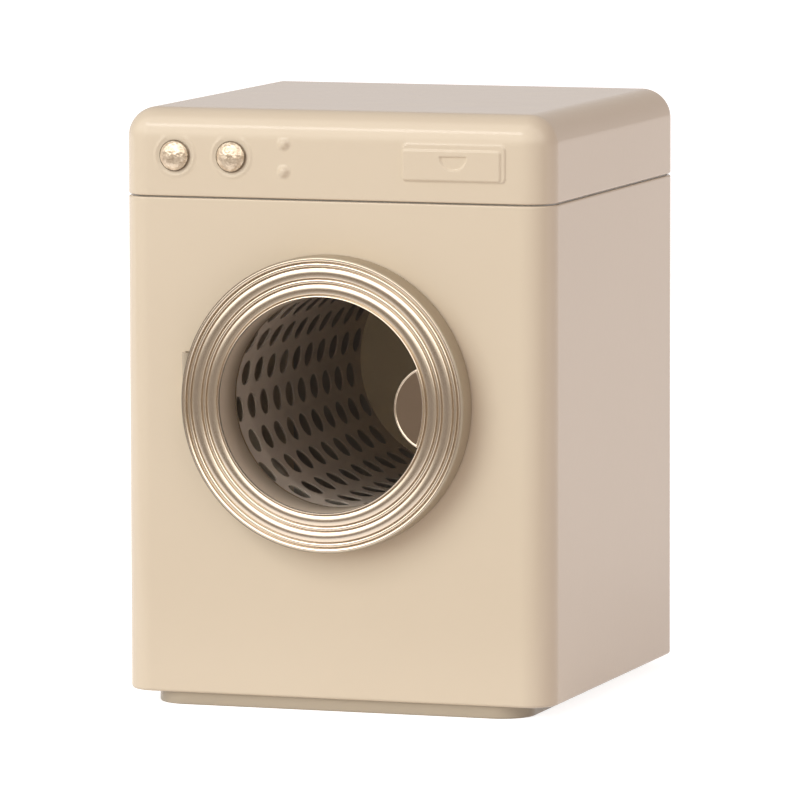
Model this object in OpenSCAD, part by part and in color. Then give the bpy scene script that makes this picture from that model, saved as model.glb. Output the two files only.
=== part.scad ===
// Toy front-loading washing machine in sheet metal.
// Origin: centre of the plinth's underside. +Z up, the door faces -Y.

/* [Cabinet] */
// Width of the cabinet across its sides
case_w = 82.5; // [78:0.5:96]
// Depth of the cabinet from front panel to back flanges
case_d = 80.6; // [72:0.2:96]
// Overall height, from the table to the top of the lid
case_h = 110; // [108:1:130]
// Radius of the four upright corners
corner_r = 5.6; // [5:0.1:6.5]
// Thickness of the cabinet, lid, base and plinth sheet
sheet_t = 0.7; // [0.5:0.05:0.8]
// Gap of the parting line between lid and cabinet
seam_gap = 0.3; // [0.1:0.05:0.6]
// Width of the flanges turned in at the back of the cabinet
back_flange_w = 7; // [6:0.5:9]

/* [Lid and control panel] */
// Height of the lid, whose front is the control panel
lid_h = 16; // [15.5:0.25:20]
// Radius of the lid's top edge
lid_edge_r = 5.5; // [3:0.1:5.9]
// Height of the controls' centre line above the lid's lower edge
control_rise = 7.45; // [7:0.05:8]
// Height of the band that joins lid and cabinet
band_h = 10; // [8:0.5:12]
// Thickness of the joining band
band_t = 0.5; // [0.4:0.05:0.7]
// How far the joining band reaches up into the lid
band_lap = 4; // [2.5:0.25:4.25]

/* [Knobs] */
// Distance of the left knob's centre from the cabinet's left side
knob_inset = 10.7; // [9.5:0.05:13]
// Distance between the two knobs
knob_pitch = 10.95; // [8:0.05:13]
// Radius of the domed knobs
knob_r = 2.9; // [2.5:0.05:3.3]
// Height of the dome
knob_dome_h = 1.9; // [1.4:0.05:2.3]
// Radius of the knob's spindle
spindle_r = 1; // [0.8:0.05:1.2]
// Length of the spindle behind the dome
spindle_l = 3.2; // [3:0.1:4]
// Radius of the raised ring pressed around each knob
knob_ring_r = 3.7; // [3.6:0.05:4]

/* [Pressed relief] */
// Place of the two lamp bumps, sideways from the cabinet's centre
lamp_x = -9.5; // [-12:0.1:-6]
// Distance between the two lamp bumps
lamp_pitch = 5.1; // [3:0.1:6]
// Radius of a lamp bump
lamp_r = 1; // [0.7:0.05:1.2]
// Distance of the detergent drawer's centre from the cabinet's right side
drawer_inset = 18.1; // [17.5:0.05:21]
// Width of the pressed drawer front
drawer_w = 19.8; // [16:0.1:21]
// Height of the pressed drawer front
drawer_h = 6.9; // [5:0.1:7]
// Height of the relief above the panel
relief_h = 0.3; // [0.2:0.05:0.4]
// Radius of the drawer's finger grip
grip_r = 2.65; // [2:0.05:2.9]

/* [Plinth] */
// Height of the plinth
plinth_h = 2.35; // [2:0.05:5]
// Inset of the plinth from each side of the cabinet
plinth_side = 5; // [3:0.25:10]
// Inset of the plinth from the front and the back of the cabinet
plinth_front = 1; // [0.5:0.25:6]
// Corner radius of the plinth
plinth_r = 6.4; // [4:0.1:9]

/* [Door] */
// Place of the door's centre, sideways from the cabinet's centre
door_x = -0.55; // [-2:0.05:1.5]
// Distance of the door's centre below the lid's lower edge
door_down = 37; // [37:0.5:44]
// Height of the door ring's face in front of the cabinet
door_rise = 5.5; // [5.2:0.1:6.5]
// Radius of the round opening inside the ring
mouth_r = 19.6; // [18.5:0.1:20]
// Width of the door ring, from its opening to its outer edge
ring_w = 7.5; // [7.3:0.1:8]
// How far the ring's barrel reaches in behind the front panel
barrel_in = 3; // [1.5:0.1:3]
// Thickness of the door's metal
door_t = 0.5; // [0.4:0.05:0.6]
// Radius of the two narrow beads between the wide bands
bead_r = 0.45; // [0.35:0.05:0.5]
// Thickness of the clear window
window_t = 0.35; // [0.25:0.05:0.4]

/* [Door handle] */
// Radius of the handle's curved inner edge
handle_r = 8.05; // [7.5:0.05:9]
// How far the handle reaches in from the barrel's wall
handle_reach = 5.8; // [5:0.1:7]
// Thickness of the handle plate
handle_t = 0.6; // [0.4:0.05:0.8]
// Depth of the handle behind the ring's face
handle_drop = 0.5; // [0.4:0.05:1.2]
// Turn of the handle about the door's centre, in degrees
handle_turn = 0; // [-6:0.5:6]

/* [Hinge] */
// Radius of the hinge knuckles
knuckle_r = 1.1; // [1:0.05:1.1]
// Radius of the hinge pin
hinge_pin_r = 0.5; // [0.4:0.05:0.6]
// Distance of the hinge axis in front of the cabinet
hinge_out = 1.2; // [1.2:0.05:1.5]
// Length of the hinge along its pin
hinge_l = 13; // [10:0.25:13]
// Height of the hinge's middle above the door's centre
hinge_up = 2; // [0:0.25:2.5]
// Radius of the rivets that hold the hinge bracket
rivet_r = 0.6; // [0.5:0.05:0.7]

/* [Drum] */
// How far the drum's wall stands outside the ring's opening
drum_step = 0.9; // [0.7:0.05:1]
// Thickness of the drum's metal
drum_t = 0.4; // [0.3:0.05:0.45]
// Rows of holes around the drum, an even number
hole_rows = 20; // [16:2:20]
// Radius of the holes in the drum
hole_r = 2.35; // [1.6:0.05:2.4]
// Distance between holes along a row
hole_pitch = 7; // [6.6:0.05:9]
// Angle of the first row of holes, in degrees
first_row = 7.4; // [0:0.1:17.9]
// Plain margin between the drum's front edge and the first holes
drum_margin = 0.55; // [0.55:0.05:2]
// Radius of the drum's axle
axle_r = 1.5; // [1.2:0.05:1.8]
// Radius of the bearing's barrel
bush_r = 2.4; // [2.2:0.05:2.8]

/* [Fits] */
// Radial clearance of turning fits
run_fit = 0.05; // [0.03:0.01:0.08]
// Clearance between pieces that slip into each other and stay
slip_fit = 0.03; // [0.02:0.01:0.05]
// Gap between pieces that move past each other
move_gap = 0.35; // [0.3:0.05:0.4]
// End play of washers and clips
end_play = 0.15; // [0.1:0.01:0.2]

/* [Hidden] */
$fn = 96;
eps = 0.01;
front_y = -case_d / 2;
lid_z = case_h - lid_h;
wall_top = lid_z - seam_gap;
wall_h = wall_top - plinth_h;
control_z = lid_z + control_rise;
knob_left_x = knob_inset - case_w / 2;
knob_right_x = knob_left_x + knob_pitch;
drawer_x = case_w / 2 - drawer_inset;
door_z = lid_z - door_down;
door_r = mouth_r + ring_w;
drum_r = mouth_r + drum_step;
inner_w = case_w - 2 * (sheet_t + slip_fit);
inner_r = corner_r - sheet_t - slip_fit;

// Depths behind the front panel's face, from the back of the machine forwards
panel_back = case_d - sheet_t;
panel_front = panel_back - sheet_t;
drum_end = panel_front - 0.9;
cup_depth = 2;
drum_back_at = drum_end - cup_depth;
bush_flange_t = 0.7;
bush_flange_r = 3.4;
axle_flange_t = 0.6;
axle_flange_r = 3.5;
inner_d = panel_front - sheet_t - 2 * slip_fit;
inner_y = front_y + sheet_t + slip_fit + inner_d / 2;
tray_h = 5;
washer_t = panel_front - bush_flange_t - drum_back_at - drum_t - axle_flange_t - 2 * end_play;

// Depths behind the front panel's face, at the mouth
retainer_lip = 0.25;
retainer_end = barrel_in + window_t + retainer_lip;
rim_front = retainer_end + move_gap;
rim_l = 0.8;
rim_wall = 0.3;
drum_front = rim_front + rim_wall;
barrel_r = mouth_r + door_t;
retainer_r = barrel_r + slip_fit + rim_wall;
swing_room = 0.4;
panel_hole_r = retainer_r + move_gap + swing_room;
collar_t = 0.5;
collar_flange_w = 1.2;
collar_l = 6;
collar_r = drum_r + drum_t + slip_fit + rim_wall + move_gap;
holes_per_row = floor((drum_back_at - drum_front - 2 * drum_margin - 2 * hole_r - hole_pitch / 2)
    / hole_pitch) + 1;

// The hinge, about an upright axis beside the door's left edge
hinge_x = door_x - door_r - 0.05;
hinge_y = front_y - hinge_out;
hinge_z = door_z + hinge_up - hinge_l / 2;
knuckle_gap = 0.1;
knuckle_l = (hinge_l - 2 * knuckle_gap) / 3;
leaf_t = 0.5;
leaf_l = 6;
rivet_in = 3.2;
rivet_end = 2;
notch_gap = 0.3;
notch_in = 2.4;
liner_at = leaf_t + 0.5;

// Door section
skirt_t = 0.6;
face_z = door_rise - 0.6;
band_rise = 0.25;
outer_round = 1;
inner_bead_in = 3.1;
outer_bead_in = 1.45;
bead_at = [mouth_r + inner_bead_in, door_r - outer_bead_in];

// Magnet catch inside the ring
magnet_r = 2;
magnet_h = 1.5;
cup_wall = 0.4;

// Fasteners
screw_r = 0.9;
screw_head_r = 1.6;
screw_head_h = 0.8;
screw_l = 3.2;
back_screw_x = case_w / 2 - corner_r - back_flange_w / 2;
back_screw_in = 12;
back_screw_z = [plinth_h + back_screw_in, wall_top - back_screw_in];
foot_screw_x = case_w / 2 - plinth_side - plinth_r;
foot_screw_y = case_d / 2 - plinth_front - plinth_r;
boss_r = 2.2;
floor_t = 0.35;
clip_t = 0.4;
clip_w = 1.6;
nut_w = 1.3;
washer_w = 1.1;
knob_washer_t = 0.4;

enamel = "#dccdb0";
steel = "#a8a39b";
nickel = "#c9b79c";

// ---- helpers ----

// Plan outline of a box with rounded corners, centred
module round_plan(w, d, r) {
    square([w - 2 * r, d], center = true);
    square([w, d - 2 * r], center = true);
    for (x = [-1, 1], y = [-1, 1])
        translate([x * (w / 2 - r), y * (d / 2 - r)]) circle(r);
}

// Quarter-round profile that reaches out to r and up to the edge radius
module edge_profile(r, edge) {
    square([r - edge, edge]);
    intersection() {
        translate([r - edge, 0]) circle(edge);
        translate([r - edge, 0]) square(edge);
    }
}

// Block with rounded upright corners r and a rounded top edge
module soft_block(w, d, h, r, edge) {
    linear_extrude(h - edge) round_plan(w, d, r);
    translate([0, 0, h - edge]) {
        linear_extrude(edge) square([w - 2 * r, d - 2 * r], center = true);
        for (side = [0, 180]) rotate(side) {
            translate([w / 2 - r, d / 2 - r, 0]) rotate([90, 0, 0])
                linear_extrude(d - 2 * r) edge_profile(r, edge);
            translate([w / 2 - r, d / 2 - r, 0]) rotate_extrude(angle = 90) edge_profile(r, edge);
            rotate(90) translate([d / 2 - r, w / 2 - r, 0]) rotate([90, 0, 0])
                linear_extrude(w - 2 * r) edge_profile(r, edge);
            translate([-w / 2 + r, d / 2 - r, 0]) rotate(90)
                rotate_extrude(angle = 90) edge_profile(r, edge);
        }
    }
}

// Places children on the front, with their Z pointing out of the panel
module on_front(x, z) translate([x, front_y, z]) rotate([90, 0, 0]) children();
module at_door() on_front(door_x, door_z) children();

// Tube between two heights, measured outwards from the front panel
module tube(inner, outer, from, to) {
    translate([0, 0, from]) difference() {
        cylinder(r = outer, h = to - from);
        translate([0, 0, -1]) cylinder(r = inner, h = to - from + 2);
    }
}

module at_back_screws() {
    for (x = [-1, 1], z = back_screw_z)
        translate([x * back_screw_x, case_d / 2, z]) rotate([90, 0, 0]) children();
}

module at_foot_screws() {
    for (x = [-1, 1], y = [-1, 1])
        translate([x * foot_screw_x, y * foot_screw_y, 0]) children();
}

module at_rivets() {
    for (z = [-1, 1])
        on_front(hinge_x + rivet_in, hinge_z + hinge_l / 2 + z * (hinge_l / 2 - rivet_end)) children();
}

// ---- cabinet ----

module cabinet_shell() color(enamel) difference() {
    translate([0, 0, plinth_h]) linear_extrude(wall_h) difference() {
        round_plan(case_w, case_d, corner_r);
        round_plan(case_w - 2 * sheet_t, case_d - 2 * sheet_t, corner_r - sheet_t);
        translate([0, case_d / 2])
            square([case_w - 2 * (corner_r + back_flange_w), 4 * sheet_t], center = true);
    }
    at_door() translate([0, 0, -2 * sheet_t]) cylinder(r = panel_hole_r, h = 4 * sheet_t);
    at_rivets() translate([0, 0, -2 * sheet_t]) cylinder(r = rivet_r + slip_fit, h = 4 * sheet_t);
    at_back_screws() translate([0, 0, -sheet_t]) cylinder(r = screw_r + slip_fit, h = 3 * sheet_t);
}

module back_panel() color(steel) difference() {
    translate([0, front_y + (panel_front + panel_back) / 2, plinth_h + wall_h / 2])
        cube([case_w - 2 * corner_r, sheet_t, wall_h], center = true);
    at_back_screws() cylinder(r = screw_r + slip_fit, h = 3 * sheet_t);
    at_door() translate([0, 0, -case_d]) cylinder(r = bush_r + slip_fit, h = 4 * sheet_t);
}

// Tray that closes the bottom, inside the walls and in front of the back panel
module base_plate() color(steel) difference() {
    translate([0, inner_y, plinth_h]) difference() {
        linear_extrude(tray_h) round_plan(inner_w, inner_d, inner_r);
        translate([0, 0, sheet_t]) linear_extrude(tray_h)
            round_plan(inner_w - 2 * sheet_t, inner_d - 2 * sheet_t, inner_r - sheet_t);
    }
    at_foot_screws() cylinder(r = screw_r + slip_fit, h = plinth_h + tray_h);
}

module plinth() color(enamel) difference() {
    w = case_w - 2 * plinth_side;
    d = case_d - 2 * plinth_front;
    union() {
        difference() {
            linear_extrude(plinth_h) round_plan(w, d, plinth_r);
            translate([0, 0, sheet_t]) linear_extrude(plinth_h)
                round_plan(w - 2 * sheet_t, d - 2 * sheet_t, plinth_r - sheet_t);
        }
        at_foot_screws() cylinder(r = boss_r, h = plinth_h);
    }
    at_foot_screws() translate([0, 0, floor_t]) cylinder(r = screw_r, h = plinth_h);
}

module lid() color(enamel) {
    difference() {
        union() {
            translate([0, 0, lid_z]) soft_block(case_w, case_d, lid_h, corner_r, lid_edge_r);
            knob_rings();
            lamp_bumps();
            drawer_front();
        }
        translate([0, 0, lid_z - eps]) soft_block(case_w - 2 * sheet_t, case_d - 2 * sheet_t,
            lid_h - sheet_t + eps, corner_r - sheet_t, lid_edge_r - sheet_t);
        for (x = [knob_left_x, knob_right_x])
            on_front(x, control_z) translate([0, 0, -2 * sheet_t])
                cylinder(r = spindle_r + run_fit, h = 4 * sheet_t);
    }
}

module knob_rings() {
    ring_w = 0.25;
    for (x = [knob_left_x, knob_right_x])
        on_front(x, control_z)
            tube(knob_ring_r - ring_w, knob_ring_r + ring_w, -sheet_t / 2, relief_h / 2);
}

module lamp_bumps() {
    bump_h = 0.45;
    ball_r = (lamp_r * lamp_r + bump_h * bump_h) / (2 * bump_h);
    for (z = [-1, 1])
        on_front(lamp_x, control_z + z * lamp_pitch / 2)
            translate([0, 0, bump_h - ball_r]) sphere(ball_r);
}

// Raised drawer front with a half-round finger grip sunk into it
module drawer_front() {
    drawer_corner = 0.9;
    drawer_drop = 0.3;
    on_front(drawer_x, control_z - drawer_drop) difference() {
        translate([0, 0, -sheet_t / 2]) linear_extrude(sheet_t / 2 + relief_h)
            round_plan(drawer_w, drawer_h, drawer_corner);
        intersection() {
            translate([0, grip_r / 2, 0]) cylinder(r = grip_r, h = 1);
            translate([-grip_r, -drawer_h / 2, 0]) cube([2 * grip_r, drawer_h / 2 + grip_r / 2, 1]);
        }
    }
}

// Band inside both, which holds the lid in line with the cabinet
module joint_band() color(steel) translate([0, inner_y, lid_z + band_lap - band_h])
    linear_extrude(band_h) difference() {
        round_plan(inner_w, inner_d, inner_r);
        round_plan(inner_w - 2 * band_t, inner_d - 2 * band_t, inner_r - band_t);
    }

module back_screws() color(steel) at_back_screws() {
    translate([0, 0, -screw_head_h]) cylinder(r = screw_head_r, h = screw_head_h);
    cylinder(r = screw_r, h = screw_l);
}

module plinth_screws() color(steel) at_foot_screws() {
    translate([0, 0, plinth_h + sheet_t]) cylinder(r = screw_head_r, h = screw_head_h);
    translate([0, 0, floor_t + slip_fit])
        cylinder(r = screw_r - slip_fit, h = plinth_h + sheet_t - floor_t - slip_fit);
}

// Collar behind the front panel, in whose bore the drum's rim turns
module mouth_collar() color(steel) at_door() difference() {
    union() {
        tube(panel_hole_r, collar_r + collar_flange_w, -sheet_t - collar_t, -sheet_t);
        tube(collar_r, collar_r + collar_t, -collar_l, -sheet_t);
    }
    translate([0, 0, -collar_l - 1]) cylinder(r = collar_r, h = collar_l - sheet_t - collar_t + 1);
}

// ---- drum ----

module drum_wall() color(steel) at_door() difference() {
    tube(drum_r, drum_r + drum_t, -drum_end, -drum_front);
    for (row = [0 : hole_rows - 1], k = [0 : holes_per_row - 1]) {
        stagger = row % 2 == 0 ? 0 : hole_pitch / 2;
        depth = drum_front + drum_margin + hole_r + stagger + k * hole_pitch;
        rotate(first_row + row * 360 / hole_rows)
            translate([drum_r - 1, 0, -depth]) rotate([0, 90, 0]) cylinder(r = hole_r, h = drum_t + 2);
    }
}

// Folded rim over the drum's front edge
module drum_rim() color(steel) at_door() rotate_extrude() difference() {
    translate([drum_r - rim_wall, -rim_front - rim_l])
        square([drum_t + 2 * rim_wall + slip_fit, rim_l]);
    translate([drum_r - slip_fit, -rim_front - rim_l - 1])
        square([drum_t + 2 * slip_fit, rim_l + 1 - rim_wall]);
}

// Shallow cup set into the drum's rear end
module drum_back() color(steel) at_door() rotate_extrude() difference() {
    translate([axle_r + slip_fit, -drum_back_at - cup_depth])
        square([drum_r - axle_r - 2 * slip_fit, cup_depth]);
    translate([0, -drum_back_at - cup_depth - 1])
        square([drum_r - drum_t - slip_fit, cup_depth + 1 - drum_t]);
}

// Shouldered pin riveted to the drum's back
module drum_axle() color(nickel) at_door() {
    rivet_h = 0.5;
    pin_end = panel_back + 1;
    translate([0, 0, -pin_end]) cylinder(r = axle_r, h = pin_end - drum_back_at + rivet_h);
    translate([0, 0, -drum_back_at]) cylinder(r = axle_r + 1, h = rivet_h);
    translate([0, 0, -drum_back_at - drum_t - axle_flange_t])
        cylinder(r = axle_flange_r, h = axle_flange_t);
}

module drum_bush() color("#b59a62") at_door() difference() {
    union() {
        translate([0, 0, -panel_front]) cylinder(r = bush_flange_r, h = bush_flange_t);
        translate([0, 0, -panel_back - 0.1]) cylinder(r = bush_r, h = sheet_t + 0.2);
    }
    translate([0, 0, -case_d]) cylinder(r = axle_r + run_fit, h = 4);
}

module axle_washer() color(steel) at_door() {
    from = drum_back_at + drum_t + axle_flange_t + end_play;
    tube(axle_r + run_fit, axle_flange_r - 0.3, -from - washer_t, -from);
}

module axle_clip() color(steel) at_door() {
    from = panel_back + 0.1 + end_play;
    tube(axle_r + slip_fit, axle_r + clip_w, -from - clip_t, -from);
}

// ---- door ----

// Section of the pressed ring: wide crowned bands with narrow beads between them
module ring_section() {
    band_mid = (bead_at[0] + bead_at[1]) / 2;
    band_half = (bead_at[1] - bead_at[0]) / 2 - bead_r;
    crown_r = (band_half * band_half + band_rise * band_rise) / (2 * band_rise);
    lip_mid = (mouth_r + 2 * bead_r + bead_at[0] - bead_r) / 2;
    lip_half = (bead_at[0] - 3 * bead_r - mouth_r) / 2;
    lip_crown_r = (lip_half * lip_half + band_rise * band_rise) / (2 * band_rise);
    translate([mouth_r, face_z - skirt_t]) square([door_r - outer_round - mouth_r, skirt_t]);
    translate([mouth_r, -barrel_in]) square([door_t, barrel_in + face_z]);
    translate([door_r - skirt_t, move_gap]) square([skirt_t, door_rise - outer_round - move_gap]);
    for (r = [mouth_r + bead_r, bead_at[0], bead_at[1]])
        translate([r, door_rise - bead_r]) circle(bead_r);
    intersection() {
        translate([band_mid, door_rise - band_rise - crown_r]) circle(crown_r);
        translate([band_mid - band_half - bead_r, face_z - skirt_t]) square([2 * (band_half + bead_r), 2]);
    }
    intersection() {
        translate([lip_mid, door_rise - band_rise - lip_crown_r]) circle(lip_crown_r);
        translate([lip_mid - lip_half - bead_r, face_z - skirt_t]) square([2 * (lip_half + bead_r), 2]);
    }
    intersection() {
        translate([door_r - outer_round, door_rise - outer_round]) circle(outer_round);
        translate([door_r - outer_round - bead_r, face_z - skirt_t]) square(2);
    }
}

// Space around the hinge knuckles that the door's metal leaves free
module hinge_notch() {
    reach = knuckle_r + notch_gap;
    translate([hinge_x - 2 * reach, hinge_y - reach, hinge_z - notch_gap])
        cube([2 * reach + notch_in, reach + hinge_out, hinge_l + 2 * notch_gap]);
}

module door_ring() color(nickel) difference() {
    at_door() rotate_extrude() ring_section();
    hinge_notch();
}

// Flat ring that closes the back of the pressing
module door_liner() color(nickel) difference() {
    at_door() tube(barrel_r + slip_fit, door_r - skirt_t - slip_fit, liner_at, liner_at + door_t);
    hinge_notch();
}

module door_window() color("#dfe6e8", 0.35) at_door()
    translate([0, 0, -barrel_in - window_t]) cylinder(r = barrel_r, h = window_t);

module window_retainer() color(nickel) at_door() rotate_extrude() difference() {
    translate([mouth_r, -retainer_end]) square([retainer_r - mouth_r, barrel_in + retainer_lip]);
    translate([mouth_r - 1, -barrel_in - window_t])
        square([barrel_r + slip_fit - mouth_r + 1, barrel_in + retainer_end]);
}

// Lens-shaped finger plate at the barrel's right, with a raised rim
module door_handle() color(nickel) at_door() rotate(handle_turn) {
    rim_w = 0.35;
    rim_h = 0.2;
    back_z = door_rise - handle_drop - handle_t;
    difference() {
        translate([0, 0, back_z]) linear_extrude(handle_t) lens(0);
        translate([0, 0, back_z + handle_t - rim_h]) linear_extrude(1) lens(rim_w);
    }
}

module lens(inset) intersection() {
    circle(mouth_r - slip_fit - inset);
    translate([mouth_r - handle_reach + handle_r, 0]) circle(handle_r - inset);
}

// ---- hinge ----

module knuckle(from, l) translate([hinge_x, hinge_y, hinge_z + from]) cylinder(r = knuckle_r, h = l);

module hinge_bracket() color(enamel) difference() {
    union() {
        for (from = [0, 2 * (knuckle_l + knuckle_gap)]) {
            knuckle(from, knuckle_l);
            translate([hinge_x, front_y - leaf_t, hinge_z + from]) cube([rivet_in, leaf_t, knuckle_l]);
        }
        translate([hinge_x + knuckle_r + notch_gap, front_y - leaf_t, hinge_z])
            cube([leaf_l - knuckle_r - notch_gap, leaf_t, hinge_l]);
    }
    translate([hinge_x, hinge_y, hinge_z - 1]) cylinder(r = hinge_pin_r + slip_fit, h = hinge_l + 2);
    at_rivets() translate([0, 0, -1]) cylinder(r = rivet_r + slip_fit, h = 3);
}

// Leaf on the door: its knuckle turns between the bracket's two
module hinge_leaf() color(nickel) difference() {
    from = knuckle_l + knuckle_gap;
    leaf_y = front_y - liner_at - door_t;
    union() {
        knuckle(from, knuckle_l);
        translate([hinge_x, leaf_y - leaf_t, hinge_z + from]) cube([leaf_l, leaf_t, knuckle_l]);
    }
    translate([hinge_x, hinge_y, hinge_z - 1]) cylinder(r = hinge_pin_r + run_fit, h = hinge_l + 2);
}

module hinge_pin() color(steel) translate([hinge_x, hinge_y, hinge_z - 0.15])
    cylinder(r = hinge_pin_r, h = hinge_l + 0.3);

// Rivets flush in the bracket, headed over behind the panel
module hinge_rivets() color(steel) at_rivets() {
    head_h = 0.4;
    translate([0, 0, -sheet_t]) cylinder(r = rivet_r, h = sheet_t + leaf_t);
    translate([0, 0, -sheet_t - head_h]) cylinder(r = rivet_r + 0.4, h = head_h);
}

// ---- catch ----

module at_magnet() at_door() translate([(barrel_r + door_r - skirt_t) / 2, 0, liner_at + door_t]) children();

module door_magnet() color("#4a4a4c") at_magnet() cylinder(r = magnet_r, h = magnet_h);

module magnet_cup() color(steel) at_magnet() difference() {
    cylinder(r = magnet_r + slip_fit + cup_wall, h = magnet_h + cup_wall);
    translate([0, 0, -1]) cylinder(r = magnet_r + slip_fit, h = magnet_h + 1);
}

// ---- knobs ----

module knob() color(nickel) {
    stand_off = 0.12;
    ball_r = (knob_r * knob_r + knob_dome_h * knob_dome_h) / (2 * knob_dome_h);
    translate([0, 0, stand_off]) intersection() {
        translate([0, 0, knob_dome_h - ball_r]) sphere(ball_r);
        cylinder(r = knob_r, h = knob_dome_h + 1);
    }
    translate([0, 0, stand_off - spindle_l]) cylinder(r = spindle_r, h = spindle_l + 0.5);
}

module push_nut() color(steel) {
    from = sheet_t + knob_washer_t + end_play;
    tube(spindle_r + slip_fit, spindle_r + nut_w, -from - clip_t, -from);
}

module knob_left() on_front(knob_left_x, control_z) knob();
module knob_right() on_front(knob_right_x, control_z) knob();
module push_nut_left() on_front(knob_left_x, control_z) push_nut();
module push_nut_right() on_front(knob_right_x, control_z) push_nut();

module knob_washers() color(steel) for (x = [knob_left_x, knob_right_x])
    on_front(x, control_z)
        tube(spindle_r + run_fit, spindle_r + washer_w, -sheet_t - knob_washer_t, -sheet_t);

cabinet_shell();
back_panel();
base_plate();
plinth();
lid();
joint_band();
back_screws();
plinth_screws();
mouth_collar();
drum_wall();
drum_rim();
drum_back();
drum_axle();
drum_bush();
axle_washer();
axle_clip();
door_ring();
door_liner();
door_window();
window_retainer();
door_handle();
hinge_bracket();
hinge_leaf();
hinge_pin();
hinge_rivets();
door_magnet();
magnet_cup();
knob_left();
knob_right();
knob_washers();
push_nut_left();
push_nut_right();
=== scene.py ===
import math
import random
import bmesh
import bpy
from mathutils import Matrix, Vector


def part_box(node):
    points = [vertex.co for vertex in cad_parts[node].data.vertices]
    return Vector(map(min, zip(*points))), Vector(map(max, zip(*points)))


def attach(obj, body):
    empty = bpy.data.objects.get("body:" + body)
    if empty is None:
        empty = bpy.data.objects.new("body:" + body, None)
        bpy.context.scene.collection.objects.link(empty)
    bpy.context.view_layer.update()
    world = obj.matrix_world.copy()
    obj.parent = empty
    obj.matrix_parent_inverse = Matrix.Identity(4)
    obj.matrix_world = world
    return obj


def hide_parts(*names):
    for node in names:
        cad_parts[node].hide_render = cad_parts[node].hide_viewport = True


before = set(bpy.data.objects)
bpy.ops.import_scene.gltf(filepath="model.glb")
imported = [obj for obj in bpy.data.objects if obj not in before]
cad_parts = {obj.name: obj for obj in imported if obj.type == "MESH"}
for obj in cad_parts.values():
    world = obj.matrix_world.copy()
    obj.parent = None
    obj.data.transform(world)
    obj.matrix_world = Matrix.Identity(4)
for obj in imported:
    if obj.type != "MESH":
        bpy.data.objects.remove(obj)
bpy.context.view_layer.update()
millimetre = 0.001
sameSpot = 1e-7  # metres
onPlane = 0.001  # millimetres


def boxInMm(node):
    low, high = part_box(node)
    return low / millimetre, high / millimetre


# The main places come from the frame, in millimetres
shellLow, shellHigh = boxInMm("cabinet_shell")
lidLow, lidHigh = boxInMm("lid")
ringLow, ringHigh = boxInMm("door_ring")
frontY = shellLow.y
caseWidth = shellHigh.x - shellLow.x
caseDepth = shellHigh.y - shellLow.y
doorX = (ringLow.x + ringHigh.x) / 2
doorZ = (ringLow.z + ringHigh.z) / 2
doorRadius = (ringHigh.z - ringLow.z) / 2
doorRise = frontY - ringLow.y
barrelIn = ringHigh.y - frontY


# Node trees: a socket that takes Python's operators, and one way to add any other node

class Wire:
    def __init__(self, graph, socket):
        self.graph = graph
        self.socket = socket

    def __add__(self, other):
        return self.graph.maths("ADD", self, other)

    def __radd__(self, other):
        return self.graph.maths("ADD", other, self)

    def __sub__(self, other):
        return self.graph.maths("SUBTRACT", self, other)

    def __rsub__(self, other):
        return self.graph.maths("SUBTRACT", other, self)

    def __mul__(self, other):
        return self.graph.maths("MULTIPLY", self, other)

    def __rmul__(self, other):
        return self.graph.maths("MULTIPLY", other, self)

    def __truediv__(self, other):
        return self.graph.maths("DIVIDE", self, other)

    def __mod__(self, other):
        return self.graph.maths("FLOORED_MODULO", self, other)


class Graph:
    def __init__(self, tree):
        self.tree = tree

    def node(self, kind, settings=None, sockets=None, output=0):
        made = self.tree.nodes.new(kind)
        for name, value in (settings or {}).items():
            setattr(made, name, value)
        for name, value in (sockets or {}).items():
            self.join(made.inputs[name], value)
        return Wire(self, made.outputs[output]) if made.outputs else made

    def join(self, socket, value):
        if isinstance(value, Wire):
            self.tree.links.new(value.socket, socket)
        else:
            socket.default_value = value

    def otherOutput(self, wire, output):
        return Wire(self, wire.socket.node.outputs[output])

    def split(self, vector):
        parts = self.node("ShaderNodeSeparateXYZ", None, {0: vector})
        return [self.otherOutput(parts, i) for i in range(3)]

    def maths(self, operation, *values):
        return self.node("ShaderNodeMath", {"operation": operation}, dict(enumerate(values)))

    def ramp(self, value, start, end, low=0.0, high=1.0):
        return self.node("ShaderNodeMapRange", {"interpolation_type": "SMOOTHSTEP"},
                         {"Value": value, "From Min": start, "From Max": end, "To Min": low, "To Max": high})

    def mixColours(self, factor, first, second):
        return self.node("ShaderNodeMix", {"data_type": "RGBA"}, {0: factor, 6: first, 7: second}, 2)


def paint(name, build, *details):
    material = bpy.data.materials.new(name)
    material.use_nodes = True
    material.node_tree.nodes.clear()
    graph = Graph(material.node_tree)
    build(graph, graph.node("ShaderNodeTexCoord", output="Object"), *details)
    return material


def noiseOn(graph, place, scale, detail, rough=0.5):
    return graph.node("ShaderNodeTexNoise", None,
                      {"Vector": place, "Scale": scale, "Detail": detail, "Roughness": rough})


def bumpFrom(graph, height, depth):
    return graph.node("ShaderNodeBump", None, {"Height": height, "Distance": depth})


def surface(graph, **sockets):
    names = {"colour": "Base Color", "metal": "Metallic", "rough": "Roughness", "bump": "Normal",
             "specular": "Specular IOR Level", "alpha": "Alpha"}
    values = {names[key]: value for key, value in sockets.items()}
    shader = graph.node("ShaderNodeBsdfPrincipled", None, values)
    graph.node("ShaderNodeOutputMaterial", None, {"Surface": shader})


# Materials. A pattern is given as scale per metre, detail and, where it isn't half, roughness

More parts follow.
